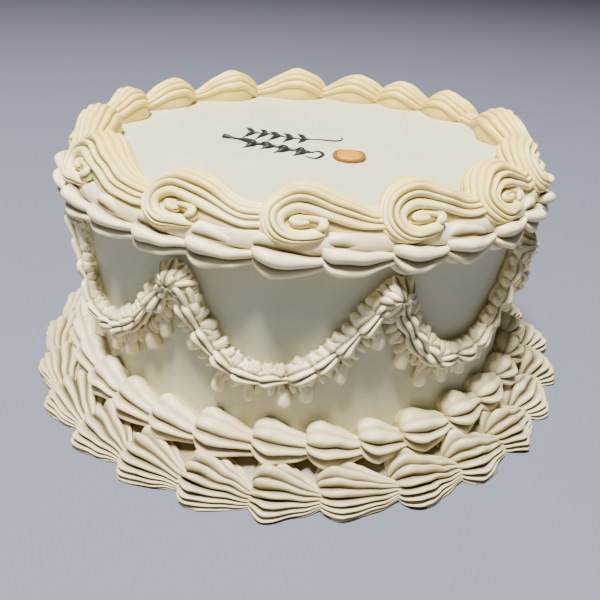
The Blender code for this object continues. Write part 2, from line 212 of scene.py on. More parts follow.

# %% [markdown]
# ## The icing itself
# Buttercream is fat and sugar beaten with air: pale ivory, softly shiny, and a little
# translucent. The material mixes a clean ivory with a deeper cream by a slow noise, paints
# shade into the creases as a warm dark brown by the value that the piping carries, and uses
# two fine bumps: the grain of the sugar, and the long soft waves of a palette knife or of the
# bag. The scrolls get a yellower cream, and towards their inner side a deeper yellow comes
# in with the distance from the cake's axis: painted warm glow, for the light that the icing
# lets through and throws back in its folds. The two rows at the foot lie in less light than
# the rest, so they get darker creams of their own: painted shade.


# %% Buttercream material
CLOUDS, KNIFE_WAVES, SUGAR_GRAIN = 38.0, 90.0, 1700.0
GLOW_DEPTH = (2.0 * MM, 1.3 * MM, 0.6 * MM)


def buttercream(name, pale, deep, crease, grain, waves, rough, glow, inner=None,
                onset=0.18, full=0.90):
    """Icing from pale to deep cream; shade is painted into a crease from depth `onset` to
    `full`.
    """
    material = bpy.data.materials.new(name)
    material.use_nodes = True
    tree = material.node_tree
    shader = tree.nodes["Principled BSDF"]

    def node(kind, **values):
        made = tree.nodes.new(kind)
        for key, value in values.items():
            if hasattr(made, key):
                setattr(made, key, value)
            else:
                made.inputs[key].default_value = value
        return made

    place = node("ShaderNodeTexCoord")
    cloud = node("ShaderNodeTexNoise", Scale=CLOUDS, Detail=3.0)
    tree.links.new(place.outputs["Object"], cloud.inputs["Vector"])
    body = node("ShaderNodeMix", data_type="RGBA")
    body.inputs["A"].default_value = (*pale, 1)
    body.inputs["B"].default_value = (*deep, 1)
    soft = node("ShaderNodeMapRange", **{"From Min": 0.35, "From Max": 0.70})
    tree.links.new(cloud.outputs["Fac"], soft.inputs["Value"])
    tree.links.new(soft.outputs["Result"], body.inputs["Factor"])
    colour = body.outputs["Result"]
    # Painted warm glow: towards the cake's axis the colour turns a deeper yellow, for light
    # that the icing lets through and throws back in its folds.
    if inner is not None:
        flat = node("ShaderNodeVectorMath", operation="MULTIPLY")
        flat.inputs[1].default_value = (1, 1, 0)
        away = node("ShaderNodeVectorMath", operation="LENGTH")
        reach = node("ShaderNodeMapRange", **{"From Min": WALL + 4 * MM,
                                              "From Max": WALL - 8 * MM})
        painted_inner_glow = node("ShaderNodeMix", data_type="RGBA")
        painted_inner_glow.inputs["B"].default_value = (*inner, 1)
        tree.links.new(place.outputs["Object"], flat.inputs[0])
        tree.links.new(flat.outputs["Vector"], away.inputs[0])
        tree.links.new(away.outputs["Value"], reach.inputs["Value"])
        tree.links.new(reach.outputs["Result"], painted_inner_glow.inputs["Factor"])
        tree.links.new(colour, painted_inner_glow.inputs["A"])
        colour = painted_inner_glow.outputs["Result"]
    # Painted shade: a crease turns towards the dark crease colour as its depth rises from onset
    # to full.
    depth = node("ShaderNodeAttribute", attribute_name="crease")
    curve = node("ShaderNodeMapRange", **{"From Min": onset, "From Max": full})
    tree.links.new(depth.outputs["Fac"], curve.inputs["Value"])
    mixed = node("ShaderNodeMix", data_type="RGBA")
    mixed.inputs["B"].default_value = (*crease, 1)
    tree.links.new(curve.outputs["Result"], mixed.inputs["Factor"])
    tree.links.new(colour, mixed.inputs["A"])
    tree.links.new(mixed.outputs["Result"], shader.inputs["Base Color"])

    sugar = node("ShaderNodeTexNoise", Scale=SUGAR_GRAIN, Detail=2.0)
    knife = node("ShaderNodeTexNoise", Scale=KNIFE_WAVES, Detail=2.0)
    for noise in (sugar, knife):
        tree.links.new(place.outputs["Object"], noise.inputs["Vector"])
    fine = node("ShaderNodeBump", Strength=grain, Distance=0.2 * MM)
    broad = node("ShaderNodeBump", Strength=waves, Distance=1.2 * MM)
    tree.links.new(sugar.outputs["Fac"], fine.inputs["Height"])
    tree.links.new(knife.outputs["Fac"], broad.inputs["Height"])
    tree.links.new(broad.outputs["Normal"], fine.inputs["Normal"])
    tree.links.new(fine.outputs["Normal"], shader.inputs["Normal"])
    shine = node("ShaderNodeMapRange", **{"To Min": rough - 0.06, "To Max": rough + 0.08})
    tree.links.new(sugar.outputs["Fac"], shine.inputs["Value"])
    tree.links.new(shine.outputs["Result"], shader.inputs["Roughness"])
    shader.inputs["Subsurface Weight"].default_value = glow
    shader.inputs["Subsurface Radius"].default_value = GLOW_DEPTH
    shader.inputs["Subsurface Scale"].default_value = 1.0
    shader.inputs["IOR"].default_value = 1.44
    return material


# The smooth icing is darker than the piped cream: partly the smooth coat's own tone, partly
# painted shade that keeps the wall dark.
smooth_icing = buttercream(
    "smooth_buttercream", pale=(0.62, 0.60, 0.42), deep=(0.58, 0.555, 0.365),
    crease=(0.62, 0.55, 0.40), grain=0.12, waves=0.20, rough=0.50, glow=0.05)
piped_icing = buttercream(
    "piped_buttercream", pale=(0.93, 0.845, 0.56), deep=(0.90, 0.77, 0.41),
    crease=(0.15, 0.11, 0.045), grain=0.18, waves=0.12, rough=0.40, glow=0.04)
# The scrolls' yellower cream and their inner yellow are painted warm glow.
scroll_glow_icing = buttercream(
    "scroll_buttercream_glow", pale=(0.94, 0.82, 0.39), deep=(0.90, 0.72, 0.25),
    crease=(0.12, 0.08, 0.028), grain=0.18, waves=0.12, rough=0.40, glow=0.04,
    inner=(0.86, 0.65, 0.18))
# Darker creams for the two rows at the foot: painted shade for the lesser light down there;
# their creases take painted shade over a wider range too.
foot_shaded_icing = buttercream(
    "foot_buttercream_shaded", pale=(0.75, 0.665, 0.42), deep=(0.67, 0.555, 0.285),
    crease=(0.15, 0.105, 0.042), grain=0.18, waves=0.12, rough=0.42, glow=0.03,
    onset=0.16, full=0.85)
fan_shaded_icing = buttercream(
    "fan_buttercream_shaded", pale=(0.63, 0.55, 0.34), deep=(0.53, 0.44, 0.23),
    crease=(0.10, 0.072, 0.030), grain=0.18, waves=0.12, rough=0.42, glow=0.03,
    onset=0.14, full=0.78)
print("icings:", [m.name for m in (smooth_icing, piped_icing, scroll_glow_icing, foot_shaded_icing,
                                   fan_shaded_icing)])

# %% [markdown]
# ## The iced cake
# The tier is a cylinder that a palette knife made smooth. Its solid is a plain turned body,
# so we turn a finer one: more sides, a rounded top edge, and a very slight unevenness of
# the wall, which the soft light picks up.


# %% The smooth tier
def smooth_tier():
    """A turned body: under side, wall, round top edge, top, as one closed grid."""
    sides, steps, arc_steps = 256, 24, 6
    edge = 4 * MM
    profile = [(r * MM, 0.0) for r in (30, 60, 90)] + [(WALL, 0.0)]
    profile += [(WALL, TOP * k / steps) for k in range(1, steps)]
    for k in range(arc_steps + 1):
        turn = 0.5 * math.pi * k / arc_steps
        profile.append((WALL - edge + edge * math.cos(turn),
                        TOP - edge + edge * math.sin(turn)))
    profile += [((WALL - edge) * (1 - k / steps), TOP) for k in range(1, steps)]
    line = np.array(profile)
    turn = np.arange(sides) * 2 * np.pi / sides
    r, z = line[:, 0][:, None], line[:, 1][:, None]
    wave = 0.35 * MM * (np.sin(3 * turn + 1.0) + np.sin(5 * turn + 0.4) * np.cos(60 * z)
                        + 0.6 * np.sin(11 * turn + 90 * z))
    lift = np.clip((z - 20 * MM) / (20 * MM), 0, 1) * np.clip((TOP - z) / (10 * MM), 0, 1)
    r = r + wave * lift - 0.3 * MM * lift
    rings = np.stack([r * np.cos(turn), r * np.sin(turn), z + 0 * turn], -1)
    return rings, np.zeros(rings.shape[:2])


tier = as_object("cake", [smooth_tier()])
tier.data.materials.append(smooth_icing)
stands_for(tier, "cake_body")

# %% [markdown]
# ## One shell
# A shell is piped in one squeeze: the icing swells at once into a fat head, then thins
# as the tip pulls away, and the next head sits on that tail. So its fatness along the
# line is a quick rise, a steady fall, and a point at each end. The creases all run into
# that point, which is what makes it look like a shell.


# %% How a shell swells and thins
BLUNT, FALL_POWER = 0.7, 1.1


def fatness(t, rise, tail):
    """Share of full width at place t from 0 to 1."""
    head = np.sqrt(np.clip(1 - (1 - np.clip(t / rise, 0, 1)) ** 2, 0, 1)) ** BLUNT
    fall = np.clip((t - rise) / (1 - rise), 0, 1)
    body = 1 - (1 - tail) * fall ** FALL_POWER
    close = np.sqrt(np.clip((1 - t) / 0.10, 0, 1))
    return head * body * close


def along(stations):
    """Places along a shell, closer together at both ends."""
    u = np.linspace(0, 1, stations)
    return 0.5 * u + 0.5 * (0.5 - 0.5 * np.cos(np.pi * u))


print("fatness at the head, middle and tail:",
      fatness(np.array([0.02, 0.3, 0.9]), 0.25, 0.4).round(2))

# %% [markdown]
# A border is a ring of such shells. Their places stray by a share of the spacing and their
# fatness by a share of its own, each line ends a little high or low, and the star leans.
# A turned skirt of icing behind a border fills the hollow that would show through it, and
# its crease value paints it in shade, as a dark hollow.


# %% A ring of shells
SHELL_STATIONS = 30
STRAY = 0.07
GROW = 0.06


def ring_of_shells(count, first, centre, size, star, seed, reach, rise, tail, crease,
                   path, level=None, wobble=0.4 * MM, dip=1.0 * MM, frill=0.0):
    """Shells round the cake; `path(t)` moves the line outward and upward from centre."""
    draw = random.Random(seed)
    pitch = 2 * math.pi / count
    offsets = [draw.uniform(-STRAY, STRAY) for _ in range(count)]
    sizes = [draw.uniform(-1, 1) for _ in range(count)]
    t = along(SHELL_STATIONS)
    deep = crease + frill * np.exp(-t / 0.12)
    bodies = []
    for i in range(count):
        start = first + (i + offsets[i]) * pitch
        end = first + (i + 1 + offsets[(i + 1) % count]) * pitch
        length = reach * (end - start) * centre[0]
        out, up = path(t)
        line = np.stack([t * length, centre[0] + out,
                         centre[1] + up - draw.uniform(-0.6, 1.4) * dip * t], -1)
        side = np.tile([0.0, 1.0, 0.0], (len(t), 1))
        rise_way = np.tile([0.0, 0.0, 1.0], (len(t), 1))
        full = fatness(t, rise, tail) * (1 + GROW * sizes[i])
        lean = draw.uniform(-0.12, 0.12) + draw.uniform(-0.15, 0.15) * t[:, None]
        angle, depth = star
        rings, dark = pipe(line, side, rise_way, size[0] * full, size[1] * full,
                           (angle[None, :] + lean, depth), deep)
        rings = unsteady(rings, draw, wobble, 10 * MM)
        if level is not None:
            # Icing that would reach below the cake's foot is pressed flat, without a crease.
            under = rings[..., 2] < level
            dark = np.where(under, 0.15, dark)
            rings[..., 1] -= np.where(under, 1.2 * MM, 0)
            rings[..., 2] = np.maximum(rings[..., 2], level)
        rings = bend(rings, start, centre[0])
        bodies.append((rings, dark))
    return bodies


def skirt(profile, shade=0.35):
    """A turned body that fills the hollow between a border and the cake."""
    sides, waves = 192, 29
    turn = np.arange(sides) * 2 * np.pi / sides
    line = np.array(profile)
    r = line[:, 0][:, None] + 0.3 * MM * np.sin(waves * turn)
    rings = np.stack([r * np.cos(turn), r * np.sin(turn), line[:, 1][:, None] + 0 * r], -1)
    # Each point takes the crease value `shade`, so the icing's material paints the skirt in
    # shade.
    return rings, shade * np.ones(rings.shape[:2])


# %% [markdown]
# ## Shells under the rim
# Twenty-nine shells run round the outer edge, under the scrolls. Three lobes of each
# show from outside: a thin lower one, a broad bright one in the middle, and the upper
# one that the scrolls press on. The star has only six lobes, so the middle one is broad.
# A low ring of icing behind them closes the gap up to the scrolls.

# %% Pipe the edge shells
edge_star = star_tip((-15, 55, 108, 165, 225, 300), (0.9, 1.2, 0.8, 0.4, 0.4, 0.9), 12, 0.95)
edge_bodies = ring_of_shells(
    count=29, first=math.radians(261.0), centre=(WALL + 3.8 * MM, 101.8 * MM),
    size=(9.6 * MM, 8.6 * MM), star=edge_star, seed=11, reach=1.36, rise=0.24, tail=0.22,
    crease=0.41,
    path=lambda t: (-0.6 * MM * t, (0.8 - 0.8 * t - 1.9 * np.sin(np.pi * t)) * MM))
edge_bodies.append(skirt([(WALL - 2 * MM, 96 * MM), (WALL + 3 * MM, 99 * MM),
                          (WALL + 6.5 * MM, 104 * MM), (WALL + 5 * MM, 108.5 * MM),
                          (WALL, 110.5 * MM), (WALL - 6 * MM, 111 * MM)]))
edge_shells = as_object("edge_shells", edge_bodies)
edge_shells.data.materials.append(piped_icing)
stands_for(edge_shells, "top_edge_shells")

# %% [markdown]
# ## Shells at the foot
# The upper row at the foot leans on the wall. Its shells are a little fatter and droop
# towards their tails. Deep creases face outward, and the ones on the upper side are
# shallow, half closed.

# %% Pipe the foot shells
foot_star = star_tip((-50, -6, 32, 74, 120, 235), (0.9, 1.05, 0.95, 0.45, 0.35, 0.4), 12, 1.1)
foot_bodies = ring_of_shells(
    count=32, first=math.radians(260.5), centre=(WALL + 5.0 * MM, 16.9 * MM),
    size=(11.0 * MM, 10.0 * MM), star=foot_star, seed=23, reach=1.36, rise=0.26, tail=0.24,
    crease=0.34, path=lambda t: (0.2 * MM * t, (1.6 - 4.2 * t) * MM), dip=1.6 * MM)
foot_shells = as_object("foot_shells_piped", foot_bodies)
foot_shells.data.materials.append(foot_shaded_icing)
stands_for(foot_shells, "foot_shells")

# %% [markdown]
# ## Fans at the foot
# The lowest row is piped lying flat. Each fan is wide and low, with many crisp ribs that
# open from the tail and end in a frilled lower edge. The ribs get finer towards that
# edge, so the creases are closer there. A low skirt of icing lies under the row.

# %% Pipe the fans
fan_star = star_tip((-14, 0, 10, 21, 34, 52, 73, 96, 121, 146, 172, 215, 290),
                    (0.7, 0.9, 1, 1, 1, 1, 1, 0.8, 0.8, 0.8, 0.7, 0.3, 0.3), 8)
fan_bodies = ring_of_shells(
    count=27, first=math.radians(262.0), centre=(119.6 * MM, 0.0),
    size=(18.0 * MM, 15.2 * MM), star=fan_star, seed=37, reach=1.22, rise=0.22, tail=0.14,
    crease=0.30, path=lambda t: (7.5 * MM * t ** 1.3, 2.0 * MM * t), level=0.1 * MM,
    wobble=0.55 * MM, dip=0.8 * MM, frill=0.25)
fan_bodies.append(skirt([(124.5 * MM, 0.1 * MM), (124.0 * MM, 2.2 * MM),
                         (118 * MM, 5.5 * MM), (WALL, 9.5 * MM), (WALL - 3 * MM, 10 * MM)],
                        shade=0.60))
fans = as_object("foot_fans_piped", fan_bodies)
fans.data.materials.append(fan_shaded_icing)
stands_for(fans, "foot_fans")

# %% [markdown]
# ## Scrolls on the top rim
# These are the largest piping: a rope from a star tip that starts at an eye on the outer
# edge, curls down, round and up over the rim, and pulls away as a wide low tail under
# the next scroll. The line is drawn in a plane that leans inward, then bent round the
# rim. The eyes are not evenly spaced, because the hand that piped them was not a machine.

# %% Where the scrolls are
EYE_DEGREES = (8, 37, 56, 72, 93, 117, 140, 161, 183, 212, 244.8, 269.8, 293, 317, 341)
EYE_OUT, EYE_UP = 107.2 * MM, 110.5 * MM
LEAN = math.radians(57)
MEAN_PITCH = math.radians(24)
TAIL_OUT, TAIL_UP = 103.0 * MM, 111.2 * MM
CURL_STATIONS, TAIL_STATIONS, EYE_STATIONS = 48, 30, 36
ACROSS_LEAN = np.array([0.0, math.cos(LEAN), math.sin(LEAN)])
print(len(EYE_DEGREES), "scrolls")


# %% The line of one scroll
def ease(u):
    """A soft step from 0 to 1."""
    u = np.clip(u, 0, 1)
    return u * u * (3 - 2 * u)


def scroll_line(reach, size):
    """Stations (along, outward, height), the rope's half width and height, its turn."""
    curl, tail = CURL_STATIONS, TAIL_STATIONS
    q = np.linspace(0, 1, curl)
    turn = math.radians(-60) - q * math.radians(210)
    radius = size * (2.9 + 7.7 * q ** 1.46) * MM
    rope = size * (2.2 + 7.2 * q ** 1.34) * MM
    across = np.cos(turn)
    flat = np.where(across > 0, 6.0 * radius * across, (radius + size * 2.4 * MM) * across)
    up = radius * np.sin(turn)
    line = np.stack([flat, EYE_OUT - up * math.sin(LEAN), EYE_UP + up * math.cos(LEAN)], -1)
    last = line[-1]
    run = np.linspace(0, 1, tail + 1)[1:]
    fall = ease(run / 0.62)
    tail_line = np.stack([last[0] + (reach - last[0]) * run,
                          last[1] + (TAIL_OUT - last[1]) * fall,
                          last[2] + (TAIL_UP - last[2]) * fall], -1)
    wide = np.concatenate([rope, rope[-1] + (size * 6.8 * MM - rope[-1]) * fall])
    high = np.concatenate([rope, rope[-1] + (size * 4.6 * MM - rope[-1]) * fall])
    share = np.concatenate([q, np.ones(tail)])
    line = np.concatenate([line, tail_line])
    # The curl and its tail meet at a slight corner, so the stations there are evened out.
    for _ in range(3):
        line[curl - 5:curl + 5] = (line[curl - 6:curl + 4] + line[curl - 5:curl + 5]
                                   + line[curl - 4:curl + 6]) / 3
    return line, wide, high, share


line, wide, high, share = scroll_line(45 * MM, 1.0)
print(f"{len(line)} stations, rope up to {2 * wide.max() / MM:.1f} mm wide")

# %% [markdown]
# The star turns while a scroll is piped, as the hand does. One crease stays deeper than
# the rest: it starts under the eye, winds round it and runs out along the tail. Outside
# it the ribs are shallow, inside it they close round the eye. The icing that came out of
# the tip first lies in the eye as a little coil of its own.


# %% The turning star of a scroll
def turning_star(star, share):
    """Angles and depths of the star at every station of a scroll."""
    angle, depth = star
    degrees = np.degrees(angle)
    held = np.interp(degrees, (97, 200, 338), (1, 0, 1))
    turned_back = math.radians(85) * (1 - share)
    inner = degrees > 105
    opened = np.where(inner[None, :], ease((share - 0.15) / 0.4)[:, None], 1.0)
    return angle[None, :] - turned_back[:, None] * held[None, :], depth[None, :] * opened


# %% Pipe the scrolls
def sideways(line):
    """The direction across a line, within the leaning plane of a scroll."""
    side = np.cross(np.gradient(line, axis=0), ACROSS_LEAN)
    return side / np.linalg.norm(side, axis=1)[:, None]


def pipe_scroll(eye, pitch, size, star, draw):
    """A whole scroll, from its eye to the end of its tail."""
    reach = 1.02 * pitch * TAIL_OUT
    line, wide, high, share = scroll_line(reach, size)
    side = sideways(line)
    up = np.tile(ACROSS_LEAN, (len(line), 1))
    u = np.linspace(0, 1, len(line))
    ends = np.sqrt(np.clip(u / 0.04, 0.02, 1)) * np.sqrt(np.clip((1 - u) / 0.05, 0.02, 1))
    rings, dark = pipe(line, side, up, wide * ends, high * ends, turning_star(star, share),
                       0.30 * np.ones(len(line)))
    rings = unsteady(rings, draw, 0.45 * MM, 14 * MM)
    return bend(rings, eye, TAIL_OUT), dark


def pipe_eye(eye, size, star, draw):
    """The first icing of a scroll: a little coil inside its curl."""
    t = np.linspace(0, 1, EYE_STATIONS)
    turn = np.radians(330 - 390 * t)
    across = size * (1.0 + (1.4 + 6.4 * t) * np.cos(turn)) * MM
    up = size * (0.7 + (0.3 + 2.5 * t) * np.sin(turn)) * MM
    near = size * (3.2 - 1.4 * t) * MM
    line = np.stack([across, EYE_OUT - up * math.sin(LEAN) + near * math.cos(LEAN),
                     EYE_UP + up * math.cos(LEAN) + near * math.sin(LEAN)], -1)
    thick = size * (1.1 + 0.9 * t) * MM
    thick = thick * np.sqrt(np.clip(t / 0.06, 0.05, 1) * np.clip((1 - t) / 0.06, 0.05, 1))
    up = np.tile(ACROSS_LEAN, (EYE_STATIONS, 1))
    rings, dark = pipe(line, sideways(line), up, thick, 1.3 * thick, star,
                       0.20 * np.ones(EYE_STATIONS))
    return bend(unsteady(rings, draw, 0.2 * MM, 8 * MM), eye, TAIL_OUT), dark


eye_star = star_tip((10, 90, 170, 270), (1, 0.5, 1, 0.5), 4)
scroll_star = star_tip((-22, 4, 28, 51, 74, 97, 119, 152, 215),
                       (0.45, 0.45, 0.5, 0.5, 0.5, 1, 0.8, 0.8, 0.3), 8, 0.8)
draw = random.Random(7)
eyes = [math.radians(a) for a in EYE_DEGREES]
scroll_bodies = []
for i, eye in enumerate(eyes):
    pitch = (eyes[(i + 1) % len(eyes)] - eye) % (2 * math.pi)
    size = (pitch / MEAN_PITCH) ** 0.25
    size *= 1 + 0.09 * (1 + math.sin(eye)) + 0.03 * draw.uniform(-1, 1)
    scroll_bodies.append(pipe_scroll(eye, pitch, size, scroll_star, random.Random(100 + i)))
    scroll_bodies.append(pipe_eye(eye, size, eye_star, random.Random(200 + i)))
scrolls = as_object("rim_scrolls", scroll_bodies)
scrolls.data.materials.append(scroll_glow_icing)
stands_for(scrolls, "top_scrolls")

# %% [markdown]
# ## Swags on the wall
# Eight swags hang round the wall between tufts. Each hangs a little fuller than a
# parabola and is deepest left of its middle. Along it run small shells with a few crisp
# ribs; a soft ruffle stands on their upper side, a finer one hangs under them, and pale
# drops end it all. At each peak the swags meet in a tuft whose ribs spread like a star.

# %% The line of the swags
SWAGS = 8
SWAG_FIRST = math.radians(244.4)
SWAG_PITCH = 2 * math.pi / SWAGS
PEAK_UP, DROP = 86.0 * MM, 38.5 * MM
SKEW, FULLNESS = 0.16, 2.3
SHELLS_A_SWAG, TIPS_ABOVE, TIPS_BELOW, TUFT_RIBS, DROPS = 11, 24, 34, 11, 7


def swag_height(angle):
    """Height of the middle line and its slope at an angle round the cake."""
    across = 2 * (((angle - SWAG_FIRST) / SWAG_PITCH) % 1.0) - 1
    skewed = across + SKEW * (1 - across * across)
    turn = 2 * (1 - 2 * SKEW * across) / (SWAG_PITCH * WALL)
    bow = FULLNESS * math.copysign(abs(skewed) ** (FULLNESS - 1), skewed)
    return PEAK_UP - DROP * (1 - abs(skewed) ** FULLNESS), DROP * bow * turn


def even_steps(count):
    """Places within one swag that lie evenly along its length."""
    fine = np.linspace(0.001, 0.999, 400)
    slope = np.array([swag_height(SWAG_FIRST + u * SWAG_PITCH)[1] for u in fine])
    length = np.concatenate([[0], np.cumsum(np.hypot(1, slope[1:]))])
    return np.interp((np.arange(count) + 0.5) / count * length[-1], length, fine)


print("a swag hangs from", PEAK_UP / MM, "to", (PEAK_UP - DROP) / MM, "mm")

# %% [markdown]
# Everything on the wall is small, so one short sweep makes all of it. It starts at a point
# of the wall and runs along a heading, which is measured from level. The cuts differ: many
# creases for the shells, four soft ones for the ruffle, two for a rib, none for a drop.


# %% One small piped body on the wall
def on_wall(angle, height, heading, length, wide, high, out, star, draw, crease,
            rise=0.28, tail=0.35, stations=14, arch=0.0, lift=0.0):
    """A shell that starts at a point of the wall and runs along `heading` from level."""
    t = along(stations)
    run = t * length
    line = np.stack([run * math.cos(heading), WALL + out + arch * np.sin(np.pi * t)
                     + lift * t, height + run * math.sin(heading)], -1)
    side = np.tile([0.0, 1.0, 0.0], (stations, 1))
    up = np.tile([-math.sin(heading), 0.0, math.cos(heading)], (stations, 1))
    full = fatness(t, rise, tail)
    rings, dark = pipe(line, side, up, wide * full, high * full, star,
                       crease * np.ones(stations))
    rings = unsteady(rings, draw, 0.12 * high, 2.2 * high)
    rings[..., 1] = np.maximum(rings[..., 1], WALL - 0.6 * MM)
    return bend(rings, angle, WALL), dark


swag_star = star_tip((-82, -40, 3, 44, 90, 140, 190, 235),
                     (0.9, 1, 1, 0.9, 0.5, 0.3, 0.3, 0.3), 6)
soft_star = star_tip((20, 110, 200, 290), (0.4, 0.4, 0.4, 0.4), 3)
rib_star = star_tip((0, 180), (1, 1), 6)
plain = round_tip(12)
print("stars for the swags:", len(swag_star[0]), "and", len(soft_star[0]), "points")

# %% [markdown]
# Each swag is piped from its left peak. Its first shells are the fattest, and each shell
# starts a little before its place, so that its head covers the tail of the last one.

# %% Shells along the swags
draw = random.Random(53)
swag_bodies = []
for s in range(SWAGS):
    for place in even_steps(SHELLS_A_SWAG):
        angle = SWAG_FIRST + (s + place) * SWAG_PITCH + draw.uniform(-0.006, 0.006)
        height, slope = swag_height(angle)
        heading = math.atan(slope) + draw.uniform(-0.10, 0.10)
        size = 1 + 0.10 * draw.uniform(-1, 1) + 0.34 * math.exp(-place / 0.08)
        back = 6.0 * MM
        swag_bodies.append(on_wall(
            angle - back * math.cos(heading) / WALL, height - back * math.sin(heading),
            heading, length=15.5 * MM * size, wide=6.6 * MM * size, high=5.2 * MM * size,
            out=2.2 * MM, star=swag_star, draw=draw, crease=0.34, rise=0.26, tail=0.30,
            stations=16))
print(len(swag_bodies), "small shells")

# %% [markdown]
# The ruffles are rows of soft tips that stand away from the line. The tufts are ribs that
# spread from a peak over a round core. The drops hang lower where the swag is steep.

# %% Soft ruffles above and below
# Way up, tips in a swag, and in millimetres: distance from the middle line, half width,
# half height, distance from the wall, and how far the tip leans out
RUFFLES = ((1, TIPS_ABOVE, 1.6, 2.6, 2.5, 3.4, -1.0), (-1, TIPS_BELOW, 3.6, 2.0, 1.7, 2.0, 0.4))
ruffle_bodies = []
for s in range(SWAGS):
    for row, count, off, wide, high, out, lift in RUFFLES:
        for place in even_steps(count):
            angle = SWAG_FIRST + (s + place) * SWAG_PITCH
            height, slope = swag_height(angle)
            along_swag = math.atan(slope)
            tilt = draw.uniform(-0.30, 0.30)
            heading = along_swag + row * (math.radians(100) + tilt)
            base_angle = angle - row * off * MM * math.sin(along_swag) / WALL
            base_height = height + row * off * MM * math.cos(along_swag)
            size = 1 + 0.20 * draw.uniform(-1, 1)
            ruffle_bodies.append(on_wall(
                base_angle, base_height, heading, length=5.4 * MM * size, wide=wide * MM,
                high=high * MM, out=out * MM, star=soft_star, draw=draw, crease=0.20,
                rise=0.40, tail=0.55, stations=9, lift=lift * MM))
print(len(ruffle_bodies), "ruffle tips")

# %% Tufts at the peaks
TUFT_UP = 83.8 * MM
TUFT_STATIONS = 12
tuft_bodies = []
for s in range(SWAGS):
    angle = SWAG_FIRST + s * SWAG_PITCH
    for k in range(TUFT_RIBS):
        turn = 2 * math.pi * k / TUFT_RIBS + draw.uniform(-0.12, 0.12)
        reach = (8.8 - 1.2 * math.sin(turn) + draw.uniform(-0.9, 0.9)) * MM
        tuft_bodies.append(on_wall(
            angle, TUFT_UP, turn, length=reach, wide=2.7 * MM, high=2.7 * MM, out=8.6 * MM,
            star=rib_star, draw=draw, crease=0.24, rise=0.50, tail=0.50,
            stations=TUFT_STATIONS, lift=-6.2 * MM, arch=1.0 * MM))
    t = along(TUFT_STATIONS)
    core = np.stack([0 * t, WALL + 9.0 * MM * t, TUFT_UP + 0 * t], -1)
    side = np.tile([1.0, 0.0, 0.0], (TUFT_STATIONS, 1))
    up = np.tile([0.0, 0.0, 1.0], (TUFT_STATIONS, 1))
    full = 6.0 * MM * np.sqrt(np.clip(1 - t ** 2, 0, 1))
    rings, dark = pipe(core, side, up, full, full, plain, np.zeros(TUFT_STATIONS))
    tuft_bodies.append((bend(rings, angle, WALL), dark))
print(len(tuft_bodies), "bodies in the tufts")

# %% Drops under the ruffle
drop_bodies = []
for s in range(SWAGS):
    for k in range(DROPS):
        place = (k + 0.5 + draw.uniform(-0.22, 0.22)) / DROPS
        angle = SWAG_FIRST + (s + place) * SWAG_PITCH
        height, slope = swag_height(angle)
        steep = min(1.7, math.hypot(1, slope))
        size = 1 + 0.18 * draw.uniform(-1, 1)
        drop_bodies.append(on_wall(
            angle, height - 8.5 * MM * steep + 3.6 * MM,
            math.radians(-90) + draw.uniform(-0.15, 0.15), length=8.6 * MM * size,
            wide=2.7 * MM * size, high=2.5 * MM * size, out=1.8 * MM, star=plain, draw=draw,
            crease=0.0, rise=0.72, tail=0.9, stations=12))
print(len(drop_bodies), "drops")

# %% The swags as two pieces
swag_shells = as_object("swag_shells", swag_bodies + tuft_bodies)
swag_trim = as_object("swag_ruffles", ruffle_bodies + drop_bodies)
for piece in (swag_shells, swag_trim):
    piece.data.materials.append(piped_icing)
    stands_for(piece, "wall_garland")

# %% [markdown]
# ## The orange ornament
# A little oval of orange icing lies on the top: a low golden pad with a darker line round
# it. The pad is a dome of ovals that shrink as they rise, and the line is a thin rope.


# %% Coloured icing
GEL_CLOUDS = 260.0


def gel_icing(name, light, dark, rough):
    """Coloured icing: two close colours mixed by a noise that also makes its bumps."""
    material = bpy.data.materials.new(name)
    material.use_nodes = True
    tree = material.node_tree
    shader = tree.nodes["Principled BSDF"]
    place = tree.nodes.new("ShaderNodeTexCoord")
    noise = tree.nodes.new("ShaderNodeTexNoise")
    noise.inputs["Scale"].default_value = GEL_CLOUDS
    mix = tree.nodes.new("ShaderNodeMix")
    mix.data_type = "RGBA"
    mix.inputs["A"].default_value = (*light, 1)
    mix.inputs["B"].default_value = (*dark, 1)
    tree.links.new(place.outputs["Object"], noise.inputs["Vector"])
    tree.links.new(noise.outputs["Fac"], mix.inputs["Factor"])
    tree.links.new(mix.outputs["Result"], shader.inputs["Base Color"])
    bump = tree.nodes.new("ShaderNodeBump")
    bump.inputs["Strength"].default_value = 0.15
    bump.inputs["Distance"].default_value = 0.3 * MM
    tree.links.new(noise.outputs["Fac"], bump.inputs["Height"])
    tree.links.new(bump.outputs["Normal"], shader.inputs["Normal"])
    shader.inputs["Roughness"].default_value = rough
    shader.inputs["IOR"].default_value = 1.30
    return material


orange_pad = gel_icing("orange_icing", (0.62, 0.28, 0.010), (0.46, 0.16, 0.006), 0.50)
orange_line = gel_icing("orange_outline", (0.22, 0.11, 0.035), (0.15, 0.075, 0.025), 0.45)
black_gel = gel_icing("black_icing", (0.010, 0.011, 0.010), (0.022, 0.024, 0.022), 0.45)
print("gels:", orange_pad.name, orange_line.name, black_gel.name)

